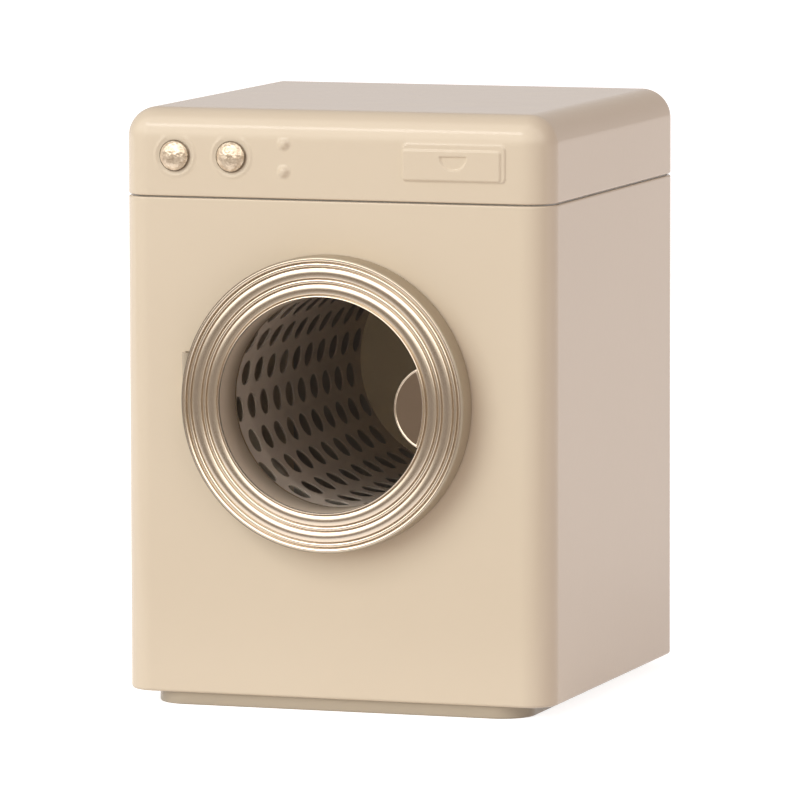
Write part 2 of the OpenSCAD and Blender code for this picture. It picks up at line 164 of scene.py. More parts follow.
enamelLook = dict(colour=(0.763, 0.654, 0.503, 1), shade=(0.733, 0.624, 0.476, 1), rough=0.13, specular=0.36,
                  drift=(26, 2), peel=(620, 2), peelDepth=0.000012, smudge=(90, 4, 0.6), smudgeRough=0.05)
# Painted shade: the plinth's enamel is darker, as if shaded under the cabinet
plinthShadeLook = dict(enamelLook, colour=(0.51, 0.435, 0.335, 1), shade=(0.47, 0.395, 0.295, 1),
                  rough=0.2, specular=0.3)


def enamelPaint(graph, place, look):
    drift = noiseOn(graph, place, *look["drift"])
    peel = noiseOn(graph, place, *look["peel"])
    smudge = noiseOn(graph, place, *look["smudge"])
    surface(graph, colour=graph.mixColours(drift, look["colour"], look["shade"]), specular=look["specular"],
            rough=look["rough"] + smudge * look["smudgeRough"], bump=bumpFrom(graph, peel, look["peelDepth"]))


# Most other finishes: cloudy colour, roughness that follows cloud and grain, bump from the finer one
def cloudyFinish(graph, place, look, tint=None):
    cloud = noiseOn(graph, place, *look["cloud"])
    if "cloudRange" in look:
        cloud = graph.ramp(cloud, *look["cloudRange"])
    grain = noiseOn(graph, place, *look["grain"]) if "grain" in look else cloud
    rough = look["rough"]
    for pattern, share in ((cloud, "cloudRough"), (grain, "grainRough")):
        if share in look:
            rough = rough + pattern * look[share]
    colour = tint(graph, place, cloud) if tint else graph.mixColours(cloud, look["colour"], look["shade"])
    surface(graph, colour=colour, metal=look.get("metal", 0), specular=look.get("specular", 0.5), rough=rough,
            bump=bumpFrom(graph, grain, look["depth"]))


champagneLook = dict(colour=(0.84, 0.74, 0.615, 1), shade=(0.78, 0.68, 0.555, 1), metal=0.88, rough=0.17,
                     cloud=(120, 3), cloudRough=0.05, grain=(2400, 2, 0.7), grainRough=0.05, depth=0.000006)
# Painted shade: the finger plate's flat face takes this dark colour of the ring's metal
handleShadeLook = dict(colour=(0.265, 0.195, 0.14, 1), shade=(0.225, 0.165, 0.115, 1), metal=0.7, rough=0.3,
                  cloud=(200, 3), grain=(2600, 2, 0.7), grainRough=0.1, depth=0.000003)
knobLook = dict(colour=(0.95, 0.82, 0.65, 1), shade=(0.62, 0.50, 0.37, 1), metal=0.65, rough=0.32,
                cloud=(900, 3, 0.65), cloudRange=(0.3, 0.7),
                grain=(1500, 3, 0.7), grainRough=0.12, depth=0.00003)
# Painted shade: a dark band round each knob's edge, also used on the hinge pin
knobRimLook = dict(colour=(0.25, 0.195, 0.135, 1), shade=(0.18, 0.14, 0.095, 1), metal=0.6, rough=0.38,
                   cloud=(180, 4), cloudRough=0.1, depth=0.000006)
drumLook = dict(colour=(0.62, 0.54, 0.465, 1), shade=(0.53, 0.46, 0.39, 1), metal=0.1, rough=0.7,
                specular=0.12, cloud=(60, 4), cloudRough=0.12, grain=(1400, 2), depth=0.000008)
drumBackLook = dict(colour=(0.84, 0.73, 0.50, 1), shade=(0.76, 0.65, 0.43, 1), rough=0.6, specular=0.2,
                    cloud=(80, 3), cloudRough=0.1, grain=(900, 3), depth=0.000015)
steelLook = dict(colour=(0.56, 0.55, 0.53, 1), shade=(0.44, 0.43, 0.41, 1), metal=1.0, rough=0.3,
                 cloud=(300, 3), cloudRough=0.12, grain=(2600, 2), depth=0.00001)
brassLook = dict(colour=(0.66, 0.49, 0.24, 1), shade=(0.48, 0.34, 0.15, 1), metal=1.0, rough=0.32,
                 cloud=(350, 3), cloudRough=0.15, depth=0.00001)
ferriteLook = dict(colour=(0.05, 0.05, 0.055, 1), shade=(0.09, 0.088, 0.09, 1), metal=0.3, rough=0.45,
                   cloud=(900, 4), cloudRough=0.2, depth=0.00003)

# The turned-in wall of the door's mouth is duller than its face; its colour is painted light at the lip and
# painted shade that darkens the deeper it goes
innerShadeLook = dict(lip=(0.92, 0.79, 0.64, 1), deep=(0.34, 0.265, 0.19, 1), lipY=-0.0455, deepY=-0.0355,
                 wander=0.002, metal=0.5, rough=0.4, cloud=(150, 4), cloudRough=0.1, depth=0.000006)


def innerShadeTint(graph, place, cloud):
    along = graph.split(place)[1] + (cloud - 0.5) * innerShadeLook["wander"]
    return graph.mixColours(graph.ramp(along, innerShadeLook["lipY"], innerShadeLook["deepY"]),
                            innerShadeLook["lip"], innerShadeLook["deep"])


# Darker metal on the door ring's outer skirt and outermost rim is painted shade, with a painted shadow that
# is darkest towards the hinge
skirtShadeLook = dict(colour=(0.47, 0.40, 0.30, 1), shade=(0.41, 0.345, 0.255, 1), tarnish=(0.21, 0.165, 0.12, 1),
                 hingeSide=-0.018, freeSide=0.002, wander=0.004, metal=0.5, rough=0.42,
                 cloud=(180, 4), cloudRough=0.1, depth=0.000006)


def skirtShadeTint(graph, place, cloud):
    aside = graph.split(place)[0] + (cloud - 0.5) * skirtShadeLook["wander"]
    lessShaded = graph.mixColours(cloud, skirtShadeLook["colour"], skirtShadeLook["shade"])
    return graph.mixColours(graph.ramp(aside, skirtShadeLook["hingeSide"], skirtShadeLook["freeSide"]),
                            skirtShadeLook["tarnish"], lessShaded)


tinLook = dict(colour=(0.50, 0.485, 0.46, 1), shade=(0.42, 0.40, 0.375, 1), metal=0.9, rough=0.36,
               spangleScale=260, spangleRough=0.12, spangleDepth=0.000006, cloud=(70, 4), cloudRough=0.05)


def tinplate(graph, place):
    spangle = graph.node("ShaderNodeTexVoronoi", None, {"Vector": place, "Scale": tinLook["spangleScale"]})
    cloud = noiseOn(graph, place, *tinLook["cloud"])
    colour = graph.mixColours(cloud, tinLook["colour"], tinLook["shade"])
    surface(graph, colour=colour, metal=tinLook["metal"],
            rough=tinLook["rough"] + spangle * tinLook["spangleRough"] + cloud * tinLook["cloudRough"],
            bump=bumpFrom(graph, spangle, tinLook["spangleDepth"]))


plasticLook = dict(colour=(0.90, 0.91, 0.91, 1), metal=1.0, rough=0.04, alpha=0.022,
                   haze=(160, 3), hazeRough=0.05, hazeAlpha=0.012)


def clearPlastic(graph, place):
    haze = noiseOn(graph, place, *plasticLook["haze"])
    surface(graph, colour=plasticLook["colour"], metal=plasticLook["metal"],
            rough=plasticLook["rough"] + haze * plasticLook["hazeRough"],
            alpha=plasticLook["alpha"] + haze * plasticLook["hazeAlpha"])


materials = {
    "enamel": paint("cream_enamel", enamelPaint, enamelLook),
    "plinth_enamel": paint("enamel_painted_shade", enamelPaint, plinthShadeLook),
    "champagne_metal": paint("champagne_metal", cloudyFinish, champagneLook),
    "shaded_skirt_metal": paint("champagne_painted_shade", cloudyFinish, skirtShadeLook, skirtShadeTint),
    "inner_metal": paint("champagne_inner_wall", cloudyFinish, innerShadeLook, innerShadeTint),
    "handle_metal": paint("finger_plate_painted_shade", cloudyFinish, handleShadeLook),
    "knob_metal": paint("hammered_champagne", cloudyFinish, knobLook),
    "knob_rim_metal": paint("knob_rim_painted_shade", cloudyFinish, knobRimLook),
    "drum_steel": paint("dull_drum_steel", cloudyFinish, drumLook),
    "drum_back_paint": paint("brown_drum_back", cloudyFinish, drumBackLook),
    "tinplate": paint("tinplate", tinplate),
    "hardware_steel": paint("hardware_steel", cloudyFinish, steelLook),
    "brass": paint("bearing_brass", cloudyFinish, brassLook),
    "clear_plastic": paint("clear_plastic", clearPlastic),
    "ferrite": paint("ferrite", cloudyFinish, ferriteLook),
}
print("materials:", len(materials))


# Mesh helpers, all in millimetres until a piece is made

def arc(centreX, centreY, radius, start, end, steps, tall=None):
    angles = [math.radians(start + (end - start) * i / steps) for i in range(steps + 1)]
    tall = tall or radius
    return [(centreX + radius * math.cos(a), centreY + tall * math.sin(a)) for a in angles]


def spread(start, end, step):
    count = max(1, round(abs(end - start) / step))
    return [start + (end - start) * i / count for i in range(count + 1)]


def smoothStep(start, end, value):
    t = min(1, max(0, (value - start) / (end - start)))
    return t * t * (3 - 2 * t)


# Joins equal loops of points into a skin; a ring joins its last loop to its first
def loft(loops, ring=False):
    count = len(loops[0])
    points = [p for loop in loops for p in loop]
    faces = []
    for i in range(len(loops) if ring else len(loops) - 1):
        here, there = i * count, (i + 1) % len(loops) * count
        for j in range(count):
            k = (j + 1) % count
            faces.append((here + j, there + j, there + k, here + k))
    if not ring:
        last = (len(loops) - 1) * count
        faces.append(tuple(range(count)))
        faces.append(tuple(last + j for j in reversed(range(count))))
    return points, faces


def revolve(profile, steps):
    turns = [2 * math.pi * i / steps for i in range(steps)]
    return loft([[(r * math.cos(a), r * math.sin(a), h) for r, h in profile] for a in turns], ring=True)


def revolveDome(profile, steps):
    turns = [2 * math.pi * i / steps for i in range(steps)]
    return loft([[(r * math.cos(a), r * math.sin(a), h) for a in turns] for r, h in profile])


# An outer and an inner skin, each closed by a flat face at its far end and joined at their rims
def hollowBox(outer, inner):
    loops = outer + inner
    count = len(loops[0])
    points = [p for loop in loops for p in loop]
    faces = []
    for i in range(len(loops)):
        here, there = i * count, (i + 1) % len(loops) * count
        if i == len(outer) - 1:
            faces.append(tuple(here + j for j in range(count)))
            faces.append(tuple(there + j for j in reversed(range(count))))
            continue
        for j in range(count):
            k = (j + 1) % count
            faces.append((here + j, here + k, there + k, there + j))
    return points, faces


# Lays a profile's height out of the cabinet's front, about a point of it
def onFront(x, z):
    return Matrix.Translation((x, frontY, z)) @ Matrix.Rotation(math.radians(90), 4, "X")


def linked(name, data):
    thing = bpy.data.objects.new(name, data)
    bpy.context.scene.collection.objects.link(thing)
    return thing


def makePiece(name, skin, place=Matrix.Identity(4), sharp=35):
    points, faces = skin
    mesh = bpy.data.meshes.new(name)
    mesh.from_pydata([place @ Vector(p) * millimetre for p in points], [], faces)
    build = bmesh.new()
    build.from_mesh(mesh)
    bmesh.ops.remove_doubles(build, verts=build.verts, dist=sameSpot)
    if build.calc_volume(signed=True) < 0:
        bmesh.ops.reverse_faces(build, faces=build.faces)
    build.to_mesh(mesh)
    build.free()
    piece = linked(name, mesh)
    smoothBy(piece, sharp)
    return piece


def smoothBy(piece, sharp):
    piece.data.shade_smooth()
    piece.data.set_sharp_from_angle(angle=math.radians(sharp))


# Turns a piece's modifiers into its plain mesh
def settle(piece):
    bpy.context.view_layer.update()
    graph = bpy.context.evaluated_depsgraph_get()
    mesh = bpy.data.meshes.new_from_object(piece.evaluated_get(graph))
    old = piece.data
    piece.modifiers.clear()
    piece.data = mesh
    bpy.data.meshes.remove(old)


def drill(x, z, radius, reach, steps):
    return makePiece("hole", revolveDome([(radius, -reach), (radius, reach)], steps), onFront(x, z))


def carve(piece, *cutters):
    for cutter in cutters:
        cut = piece.modifiers.new("cut", "BOOLEAN")
        cut.operation = "DIFFERENCE"
        cut.solver = "EXACT"
        cut.object = cutter
    settle(piece)
    for cutter in cutters:
        bpy.data.objects.remove(cutter)


def evenNormals(piece):
    modifier = piece.modifiers.new("normals", "WEIGHTED_NORMAL")
    modifier.weight = 100
    modifier.keep_sharp = True
    settle(piece)


def finishPiece(piece, slot, body, node):
    piece.data.materials.clear()
    piece.data.materials.append(materials[slot])
    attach(piece, body)
    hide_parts(node)


# Stations round a box with rounded corners, anticlockwise from above, each with its outward normal
def planStations(width, depth, radius, frontXs, cornerSteps=14, openBack=None):
    halfW, halfD = width / 2, depth / 2
    flatW, flatD = halfW - radius, halfD - radius

    def corner(x, y, start):
        return [(px, py, (px - x) / radius, (py - y) / radius)
                for px, py in arc(x, y, radius, start, start + 90, cornerSteps)]

    stations = []
    if openBack:
        stations.append((-openBack, halfD, 0, 1))
    stations += corner(-flatW, flatD, 90)
    stations += corner(-flatW, -flatD, 180)
    stations += [(x, -halfD, 0, -1) for x in frontXs if -flatW < x < flatW]
    stations += corner(flatW, -flatD, 270)
    stations += corner(flatW, flatD, 0)
    if openBack:
        stations.append((openBack, halfD, 0, 1))
    return stations


def insetLoops(stations, profile):
    return [[(x - nx * inset, y - ny * inset, z) for x, y, nx, ny in stations] for inset, z in profile]


# Cabinet

cabinet = dict(cornerRadius=5.6, sheet=0.7, footRound=0.58, topRound=0.3, flange=7.0,
               holeRadius=21.18, holeReach=3, holeSteps=192, footSteps=6, topSteps=5, sharp=35)


def makeCabinet():
    low, high = shellLow.z, shellHigh.z
    foot, top, sheet = cabinet["footRound"], cabinet["topRound"], cabinet["sheet"]
    openBack = caseWidth / 2 - cabinet["cornerRadius"] - cabinet["flange"]
    stations = planStations(caseWidth, caseDepth, cabinet["cornerRadius"], [], openBack=openBack)
    profile = arc(foot, low + foot, foot, 270, 180, cabinet["footSteps"])
    profile += arc(top, high - top, top, 180, 90, cabinet["topSteps"])
    profile += [(sheet, high), (sheet, low)]
    columns = [list(column) for column in zip(*insetLoops(stations, profile))]
    shell = makePiece("cabinet_wall", loft(columns), sharp=cabinet["sharp"])
    carve(shell, drill(doorX, doorZ, cabinet["holeRadius"], cabinet["holeReach"], cabinet["holeSteps"]))
    smoothBy(shell, cabinet["sharp"])
    evenNormals(shell)
    finishPiece(shell, "enamel", "cabinet", "cabinet_shell")


makeCabinet()
print("cabinet made")


# Lid and its pressed control panel

lid = dict(cornerRadius=5.6, edgeRadius=5.5, sheet=0.7, lowRound=0.35, sharp=50,
           cell=0.16, coarseCell=1.5, lampMargin=2, coarseStart=1, drawerMargin=1, drawerEnd=0.6,
           lowSteps=6, edgeSteps=20, innerSteps=8,
           knobRing=3.7, knobRingWidth=0.5, knobRingHeight=0.14,
           lampX=-9.5, lampPitch=5.1, lampRadius=1.25, lampHeight=0.78, lampTop=0.15, lampFoot=1.15,
           drawerX=23.15, drawerWidth=19.8, drawerHeight=6.9, drawerDrop=0.3, drawerCorner=0.9,
           drawerStep=0.3, innerLeft=0.1, innerRight=0.85, innerTop=0.95, innerBottom=0.2, innerCorner=0.63,
           pressSoft=0.28, gripRadius=2.65, gripDepth=0.38, gripSoft=0.252, gripLip=0.05,
           spindleHole=1.05, spindleReach=2, spindleSteps=32)
knobLeftLow, knobLeftHigh = boxInMm("knob_left")
knobRightLow, knobRightHigh = boxInMm("knob_right")
knobLeftX = (knobLeftLow.x + knobLeftHigh.x) / 2
knobRightX = (knobRightLow.x + knobRightHigh.x) / 2
controlZ = (knobLeftLow.z + knobLeftHigh.z) / 2


# Distance outside a rounded rectangle, negative inside
def roundRectangle(x, z, left, right, low, high, corner):
    dx = max(left + corner - x, x - right + corner, 0)
    dz = max(low + corner - z, z - high + corner, 0)
    if dx > 0 and dz > 0:
        return math.hypot(dx, dz) - corner
    return max(left - x, x - right, low - z, z - high)


# How far the panel's pressing stands out of the lid's front
def reliefAt(x, z):
    soft, step = lid["pressSoft"], lid["drawerStep"]
    height = 0
    for knobX in (knobLeftX, knobRightX):
        away = abs(math.hypot(x - knobX, z - controlZ) - lid["knobRing"])
        height += lid["knobRingHeight"] * (1 - smoothStep(0, lid["knobRingWidth"], away))
    for side in (-1, 1):
        away = math.hypot(x - lid["lampX"], z - controlZ - side * lid["lampPitch"] / 2) / lid["lampRadius"]
        height += lid["lampHeight"] * (1 - smoothStep(lid["lampTop"], lid["lampFoot"], away))
    left, right = lid["drawerX"] - lid["drawerWidth"] / 2, lid["drawerX"] + lid["drawerWidth"] / 2
    middle = controlZ - lid["drawerDrop"]
    low, high = middle - lid["drawerHeight"] / 2, middle + lid["drawerHeight"] / 2
    outer = roundRectangle(x, z, left, right, low, high, lid["drawerCorner"])
    height += step * (1 - smoothStep(-soft, 0, outer))
    inner = roundRectangle(x, z, left + lid["innerLeft"], right - lid["innerRight"],
                           low + lid["innerBottom"], high - lid["innerTop"], lid["innerCorner"])
    height += step * (1 - smoothStep(-soft, 0, inner))
    gripTop = middle + lid["gripRadius"] / 2
    grip = max(math.hypot(x - lid["drawerX"], z - gripTop) - lid["gripRadius"], z - gripTop)
    return height - lid["gripDepth"] * (1 - smoothStep(-lid["gripSoft"], lid["gripLip"], grip))


# The front's stations are close together where the panel is pressed, and wide between
def panelStations():
    cell = lid["cell"]
    flat = caseWidth / 2 - lid["cornerRadius"]
    lampRight = lid["lampX"] + lid["lampMargin"]
    drawerLeft = lid["drawerX"] - lid["drawerWidth"] / 2 - lid["drawerMargin"]
    drawerRight = lid["drawerX"] + lid["drawerWidth"] / 2 + lid["drawerEnd"]
    frontXs = spread(-flat + cell, lampRight, cell)
    frontXs += spread(lampRight + lid["coarseStart"], drawerLeft, lid["coarseCell"])[:-1]
    frontXs += spread(drawerLeft, drawerRight, cell)
    return planStations(caseWidth, caseDepth, lid["cornerRadius"], frontXs)


def makeLid():
    edge, sheet, foot = lid["edgeRadius"], lid["sheet"], lid["lowRound"]
    low, high = lidLow.z, lidHigh.z
    stations = panelStations()
    outer = arc(foot, low + foot, foot, 270, 180, lid["lowSteps"])
    outer += [(0, z) for z in spread(low + foot, high - edge, lid["cell"])[1:-1]]
    outer += arc(edge, high - edge, edge, 180, 90, lid["edgeSteps"])
    inner = arc(edge, high - edge, edge - sheet, 90, 180, lid["innerSteps"]) + [(sheet, low)]
    skin = insetLoops(stations, outer)
    for loop in skin:
        for i, (x, y, z) in enumerate(loop):
            if abs(y - frontY) < onPlane:
                loop[i] = (x, y - reliefAt(x, z), z)
    piece = makePiece("lid_pressing", hollowBox(skin, insetLoops(stations, inner)), sharp=lid["sharp"])
    hole, reach, steps = (lid[key] for key in ("spindleHole", "spindleReach", "spindleSteps"))
    carve(piece, *(drill(x, controlZ, hole, reach, steps) for x in (knobLeftX, knobRightX)))
    smoothBy(piece, lid["sharp"])
    evenNormals(piece)
    finishPiece(piece, "enamel", "cabinet", "lid")


makeLid()
print("lid made")


# Plinth

plinth = dict(cornerRadius=6.4, sheet=0.7, lowRound=0.35, lowSteps=6, flatFrom=0.3)


def makePlinth():
    low, high = boxInMm("plinth")
    r, sheet = plinth["lowRound"], plinth["sheet"]
    stations = planStations(high.x - low.x, high.y - low.y, plinth["cornerRadius"], [])
    wall = [(0, high.z), (0, r + plinth["flatFrom"])] + arc(r, r, r, 180, 270, plinth["lowSteps"])
    inside = [(sheet, sheet), (sheet, high.z)]
    piece = makePiece("plinth_tray", hollowBox(insetLoops(stations, wall), insetLoops(stations, inside)))
    evenNormals(piece)
    finishPiece(piece, "enamel", "cabinet", "plinth")
    # Painted shade: the plinth takes the darker enamel
    piece.data.materials[0] = materials["plinth_enamel"]


makePlinth()
print("plinth made")


# Door ring

# Heights are above the cabinet's front, grooves are radii; the notch clears the hinge's knuckles
ring = dict(mouth=19.6, metal=0.5, skirt=0.6, gap=0.35, inside=1.35,
            steps=288, turnSteps=8, crownSteps=12, beadSteps=12, lipSteps=10,
            grooves=(20.1, 22.2, 23.1, 25.16, 26.08), grooveHalf=0.1, grooveDepth=0.8,
            bandDip=0.1, bandCrown=0.115, bandEnd=0.32, endTurn=1.1, beadDrop=0.22,
            lipRoll=4.4, lipFoot=0.2, rimRadius=0.5, rimDrop=0.04,
            shadedRim=0.3, wallWidth=0.45, wallStart=0.12,
            notchGap=0.3, notchReach=2.4, pinIn=1.1, knuckleRadius=1.4, sharp=60)


# A band between two grooves: rounded ends and a gently crowned middle
def crownBand(start, end, top):
    turn, crown = ring["bandEnd"], ring["bandCrown"]
    half = (end - start) / 2 - turn
    radius = (half * half + crown * crown) / (2 * crown)
    swing = math.degrees(math.asin(half / radius))
    endSwing = swing * ring["endTurn"]
    shoulder = top - crown
    steps = ring["turnSteps"]
    outline = arc(start + turn, shoulder - turn, turn, 180, 90 + endSwing, steps)[:-1]
    outline += arc((start + end) / 2, top - radius, radius, 90 + swing, 90 - swing, ring["crownSteps"])
    return outline + arc(end - turn, shoulder - turn, turn, 90 - endSwing, 0, steps)[1:]


def ringProfile():
    face, half, mouth = doorRise, ring["grooveHalf"], ring["mouth"]
    floor = face - ring["grooveDepth"]
    rim, roll, steps = ring["rimRadius"], ring["lipRoll"], ring["turnSteps"]
    edges = [mouth - half] + list(ring["grooves"])
    outline = [(mouth, -barrelIn), (mouth, face - roll - ring["lipFoot"])]
    for i, (before, after) in enumerate(zip(edges, edges[1:])):
        start, end = before + half, after - half
        middle = (end - start) / 2
        if i:
            outline.append((start, floor))
        if end - start > 1:
            outline += crownBand(start, end, face - ring["bandDip"])
        elif i:
            beadTop = face - ring["beadDrop"]
            outline += arc(start + middle, beadTop - middle, middle, 180, 0, ring["beadSteps"])
        else:
            outline += arc(start + middle, face - roll, middle, 180, 90, ring["lipSteps"], tall=roll)
            outline += arc(start + middle, face - middle, middle, 90, 0, steps)[1:]
        outline.append((end, floor))
    start, rimTop = edges[-1] + half, face - ring["rimDrop"] - rim
    outline += [(start, floor)] + arc(start + rim, rimTop, rim, 180, 90, steps)
    outline += arc(doorRadius - rim, rimTop, rim, 90, 0, steps)
    under, inside = doorRadius - ring["skirt"], face - ring["inside"]
    outline += [(doorRadius, ring["gap"]), (under, ring["gap"]), (under, inside)]
    return outline + [(mouth + ring["metal"], inside), (mouth + ring["metal"], -barrelIn)]


def makeNotch():
    low, high = boxInMm("hinge_bracket")
    gap = ring["notchGap"]
    pinX = low.x + ring["pinIn"]
    left, right = pinX - 2 * ring["knuckleRadius"], pinX + ring["notchReach"]
    corners = [(left, low.y - gap), (right, low.y - gap), (right, frontY + 1), (left, frontY + 1)]
    return makePiece("notch", loft([[(x, y, z) for x, y in corners] for z in (low.z - gap, high.z + gap)]))


def makeRing():
    skin = revolve(ringProfile(), ring["steps"])
    piece = makePiece("door_ring_pressing", skin, onFront(doorX, doorZ), ring["sharp"])
    carve(piece, makeNotch())
    smoothBy(piece, ring["sharp"])
    finishPiece(piece, "champagne_metal", "door", "door_ring")
    for name in ("inner_metal", "shaded_skirt_metal"):
        piece.data.materials.append(materials[name])
    wallY = (frontY - doorRise + ring["lipRoll"] * ring["wallStart"]) * millimetre
    for face in piece.data.polygons:
        x, y, z = face.center
        away = math.hypot(x / millimetre - doorX, z / millimetre - doorZ)
        # Painted shade: the outermost rim strip and the skirt take the darker skirt metal
        if away > doorRadius - ring["shadedRim"]:
            face.material_index = 2
        # Painted light and shade: the mouth's turned-in wall takes the metal that darkens inwards
        elif y > wallY and away < ring["mouth"] + ring["wallWidth"]:
            face.material_index = 1


makeRing()
print("door ring made")


# Handle: a lens-shaped plate with a raised rim

# Its outer edge follows the ring's mouth and its inner edge is a tighter arc
handle = dict(radius=8.05, reach=5.8, thick=0.6, drop=0.5, rim=0.34, rimHeight=0.2, fit=0.03,
              backRound=0.08, rimRound=0.12, rimShoulder=0.04, footRound=0.05, footRise=0.03,
              outerSteps=32, innerSteps=48, sharp=50)


def lensLoop(inset, z):
    big = ring["mouth"] - handle["fit"] - inset
    small = handle["radius"] - inset
    away = ring["mouth"] - handle["reach"] + handle["radius"]
    x = (away * away + big * big - small * small) / (2 * away)
    y = math.sqrt(big * big - x * x)
    bigAngle = math.degrees(math.atan2(y, x))
    smallAngle = math.degrees(math.atan2(y, x - away))
    outline = arc(0, 0, big, -bigAngle, bigAngle, handle["outerSteps"])
    outline += arc(away, 0, small, smallAngle, 360 - smallAngle, handle["innerSteps"])[1:-1]
    return [(px, py, z) for px, py in outline]


def makeHandle():
    front = doorRise - handle["drop"]
    back = front - handle["thick"]
    rim, low = handle["rim"], front - handle["rimHeight"]
    edge, turn = handle["backRound"], handle["rimRound"]
    shoulder, foot = handle["rimShoulder"], handle["footRound"]
    section = [(edge, back), (0, back + edge), (0, front - turn), (shoulder, front - shoulder), (turn, front)]
    section += [(rim - turn, front), (rim - shoulder, front - foot)]
    section += [(rim, low + handle["footRise"]), (rim + foot, low)]
    loops = [lensLoop(inset, z) for inset, z in section]
    piece = makePiece("door_finger_plate", loft(loops), onFront(doorX, doorZ), handle["sharp"])
    evenNormals(piece)
    finishPiece(piece, "champagne_metal", "door", "door_handle")
    piece.data.materials.append(materials["handle_metal"])
    # Painted shade: the plate's flat face takes the dark metal, the rim keeps the champagne
    for face in piece.data.polygons:
        if abs(face.center.y / millimetre - (frontY - low)) < onPlane:
            face.material_index = 1


makeHandle()
print("handle made")


# Perforated drum

drum = dict(rows=20, holes=10, holeRadius=2.35, pitch=7.0, firstAngle=7.4, margin=0.55, sheet=0.4, metal=0.25,
            cellAlong=8, cellAcross=4, holeBorder=0.45, mergeWithin=0.00002, sharp=40)
drumLow, drumHigh = boxInMm("drum_wall")
drumOuter = (drumHigh.z - drumLow.z) / 2
drumInner = drumOuter - drum["sheet"]
drumFront = drumLow.y
drumEnd = drumHigh.y


# One flat cell of the perforated sheet, or half a cell without its hole
def drumCell(name, length, holed):
    width = 2 * math.pi * drumInner / drum["rows"]
    along, across = drum["cellAlong"], drum["cellAcross"]
    if not holed:
        us = spread(0, length, drum["pitch"] / along)
        vs = spread(-width / 2, width / 2, width / across)
        points = [(u, v, 0) for u in us for v in vs]
        count = len(vs)
        faces = [(i * count + j, (i + 1) * count + j, (i + 1) * count + j + 1, i * count + j + 1)
                 for i in range(len(us) - 1) for j in range(count - 1)]
    else:
        halfU, halfV = length / 2, width / 2
        edge = [(halfU, v) for v in spread(-halfV, halfV, width / across)[:-1]]
        edge += [(u, halfV) for u in spread(halfU, -halfU, length / along)[:-1]]
        edge += [(-halfU, v) for v in spread(halfV, -halfV, width / across)[:-1]]
        edge += [(u, -halfV) for u in spread(-halfU, halfU, length / along)[:-1]]
        count = len(edge)
        start = -360 * across / 2 / count
        radii = (drum["holeRadius"], drum["holeRadius"] + drum["holeBorder"])
        rings = [arc(0, 0, r, start, start + 360, count)[:-1] for r in radii] + [edge]
        points = [(u, v, 0) for loop in rings for u, v in loop]
        faces = []
        for i in range(2):
            here, there = i * count, (i + 1) * count
            for j in range(count):
                k = (j + 1) % count
                faces.append((here + j, there + j, there + k, here + k))
    mesh = bpy.data.meshes.new(name)
    mesh.from_pydata([Vector(p) * millimetre for p in points], [], faces)
    return linked(name, mesh)


class Shaper(Graph):
    def __init__(self, name):
        super().__init__(bpy.data.node_groups.new(name, "GeometryNodeTree"))
        self.values = {}

    def declare(self, **inputs):
        for name, (kind, value) in inputs.items():
            item = self.tree.interface.new_socket(name, in_out="INPUT", socket_type=kind)
            self.values[item.identifier] = value
        self.tree.interface.new_socket("geometry", in_out="OUTPUT", socket_type="NodeSocketGeometry")
        self.inputs = self.node("NodeGroupInput")

    def given(self, name):
        return self.otherOutput(self.inputs, name)

    def deliver(self, geometry):
        metal = self.given("metal")
        geometry = self.node("GeometryNodeSetMaterial", None, {"Geometry": geometry, "Material": metal})
        self.node("NodeGroupOutput", None, {"geometry": geometry})

    def apply(self, piece):
        modifier = piece.modifiers.new("nodes", "NODES")
        modifier.node_group = self.tree
        for identifier, value in self.values.items():
            modifier[identifier] = value


